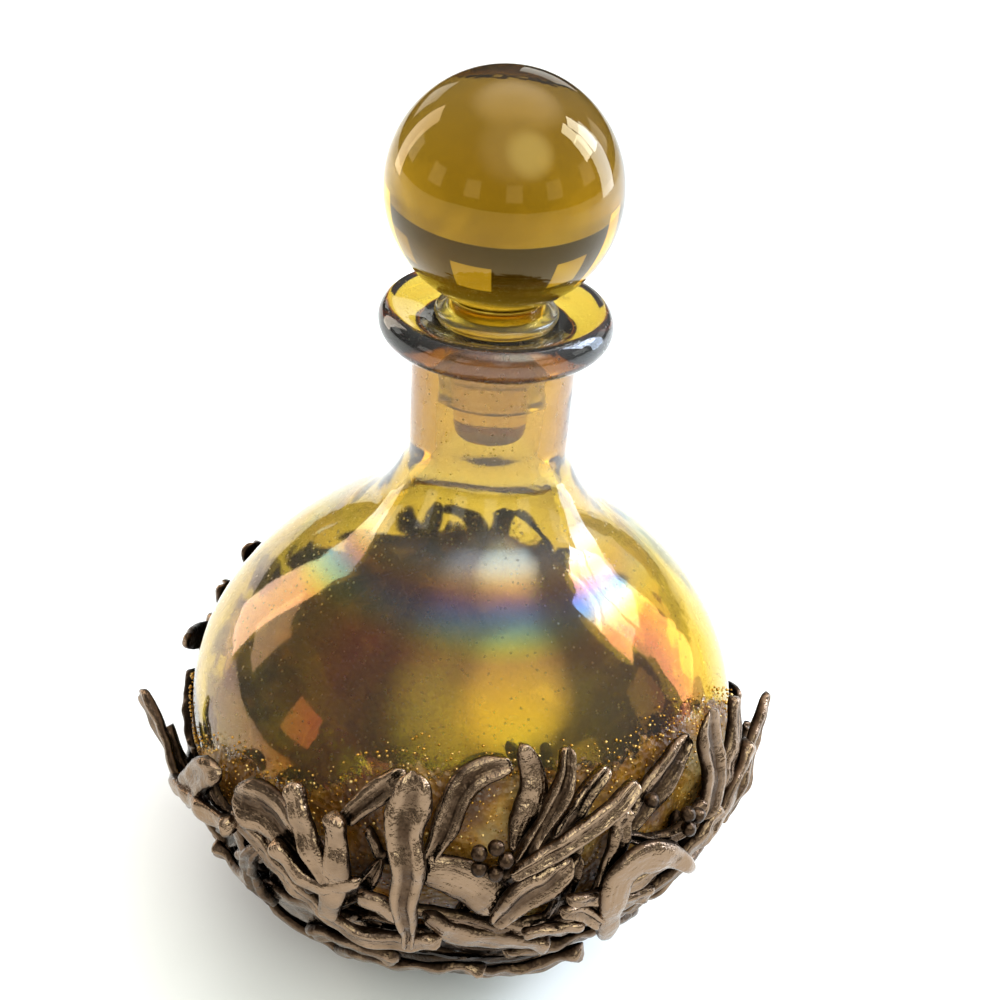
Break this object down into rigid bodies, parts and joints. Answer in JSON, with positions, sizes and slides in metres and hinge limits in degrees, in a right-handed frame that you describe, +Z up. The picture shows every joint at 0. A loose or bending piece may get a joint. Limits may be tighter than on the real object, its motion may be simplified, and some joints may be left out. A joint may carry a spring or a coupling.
{
  "type": "scent bottle",
  "caption": "Blown lustre-glass scent bottle with a solid ball stopper, standing in an openwork sleeve of soldered pewter leaves, stems and berries.",
  "frame": {"origin": "on the bottle's axis, in the plane that the feet stand on", "axes": "+Z up along the bottle's axis towards the stopper, -Y towards the front"},
  "size_m": [0.0858, 0.086, 0.124],
  "materials": {
    "lustre_glass": "blown amber glass with a thin iridescent lustre, fire-polished",
    "stopper_glass": "solid olive-amber glass, fire-polished",
    "clear_seal": "clear moulded polyethylene",
    "gold_cement": "granular adhesive dusted with gold, rough",
    "pewter": "hand-formed pewter, rosy bronze plating rubbed bright on the high places"
  },
  "bodies": {
    "bottle": {"back_arched_leaf": "pewter", "back_blunt_blade": "pewter", "back_bow_leaf_left": "pewter", "back_bow_leaf_right": "pewter", "back_broad_leaf": "pewter", "back_curled_blade": "pewter", "back_edge_leaf": "pewter", "back_eye_leaf": "pewter", "back_flank_leaf": "pewter", "back_folded_leaf": "pewter", "back_hooked_leaf": "pewter", "back_left_vine": "pewter", "back_long_strap": "pewter", "back_lower_blade": "pewter", "back_outer_blade": "pewter", "back_right_blade": "pewter", "back_right_sweep": "pewter", "back_shoulder_leaf": "pewter", "back_straight_leaf": "pewter", "back_stub_stalk": "pewter", "back_tall_leaf": "pewter", "back_twisted_leaf": "pewter", "back_upright_strand": "pewter", "back_wide_blade": "pewter", "base_cup": "pewter", "berries": "pewter", "bottle_glass": "lustre_glass", "cement_bed": "gold_cement", "feet": "pewter", "foot_blades": "pewter", "front_arched_leaf": "pewter", "front_blunt_blade": "pewter", "front_bow_leaf_left": "pewter", "front_bow_leaf_right": "pewter", "front_broad_leaf": "pewter", "front_curled_blade": "pewter", "front_edge_leaf": "pewter", "front_eye_leaf": "pewter", "front_flank_leaf": "pewter", "front_folded_leaf": "pewter", "front_hooked_leaf": "pewter", "front_left_vine": "pewter", "front_long_strap": "pewter", "front_lower_blade": "pewter", "front_outer_blade": "pewter", "front_right_blade": "pewter", "front_right_sweep": "pewter", "front_shoulder_leaf": "pewter", "front_straight_leaf": "pewter", "front_stub_stalk": "pewter", "front_tall_leaf": "pewter", "front_twisted_leaf": "pewter", "front_upright_strand": "pewter", "front_wide_blade": "pewter", "side_strands": "pewter", "small_leaves": "pewter", "thin_stems": "pewter"},
    "seal": {"stopper_seal": "clear_seal"},
    "stopper": {"stopper": "stopper_glass"}
  },
  "joints": [
    {"name": "stopper_lift", "type": "slide", "parent": "bottle", "child": "seal", "axis": [0, 0, 1], "range_m": [0, 0.03]},
    {"name": "stopper_twist", "type": "hinge", "parent": "seal", "child": "stopper", "pos_m": [0, 0, 0.11], "axis": [0, 0, 1], "continuous": true}
  ]
}
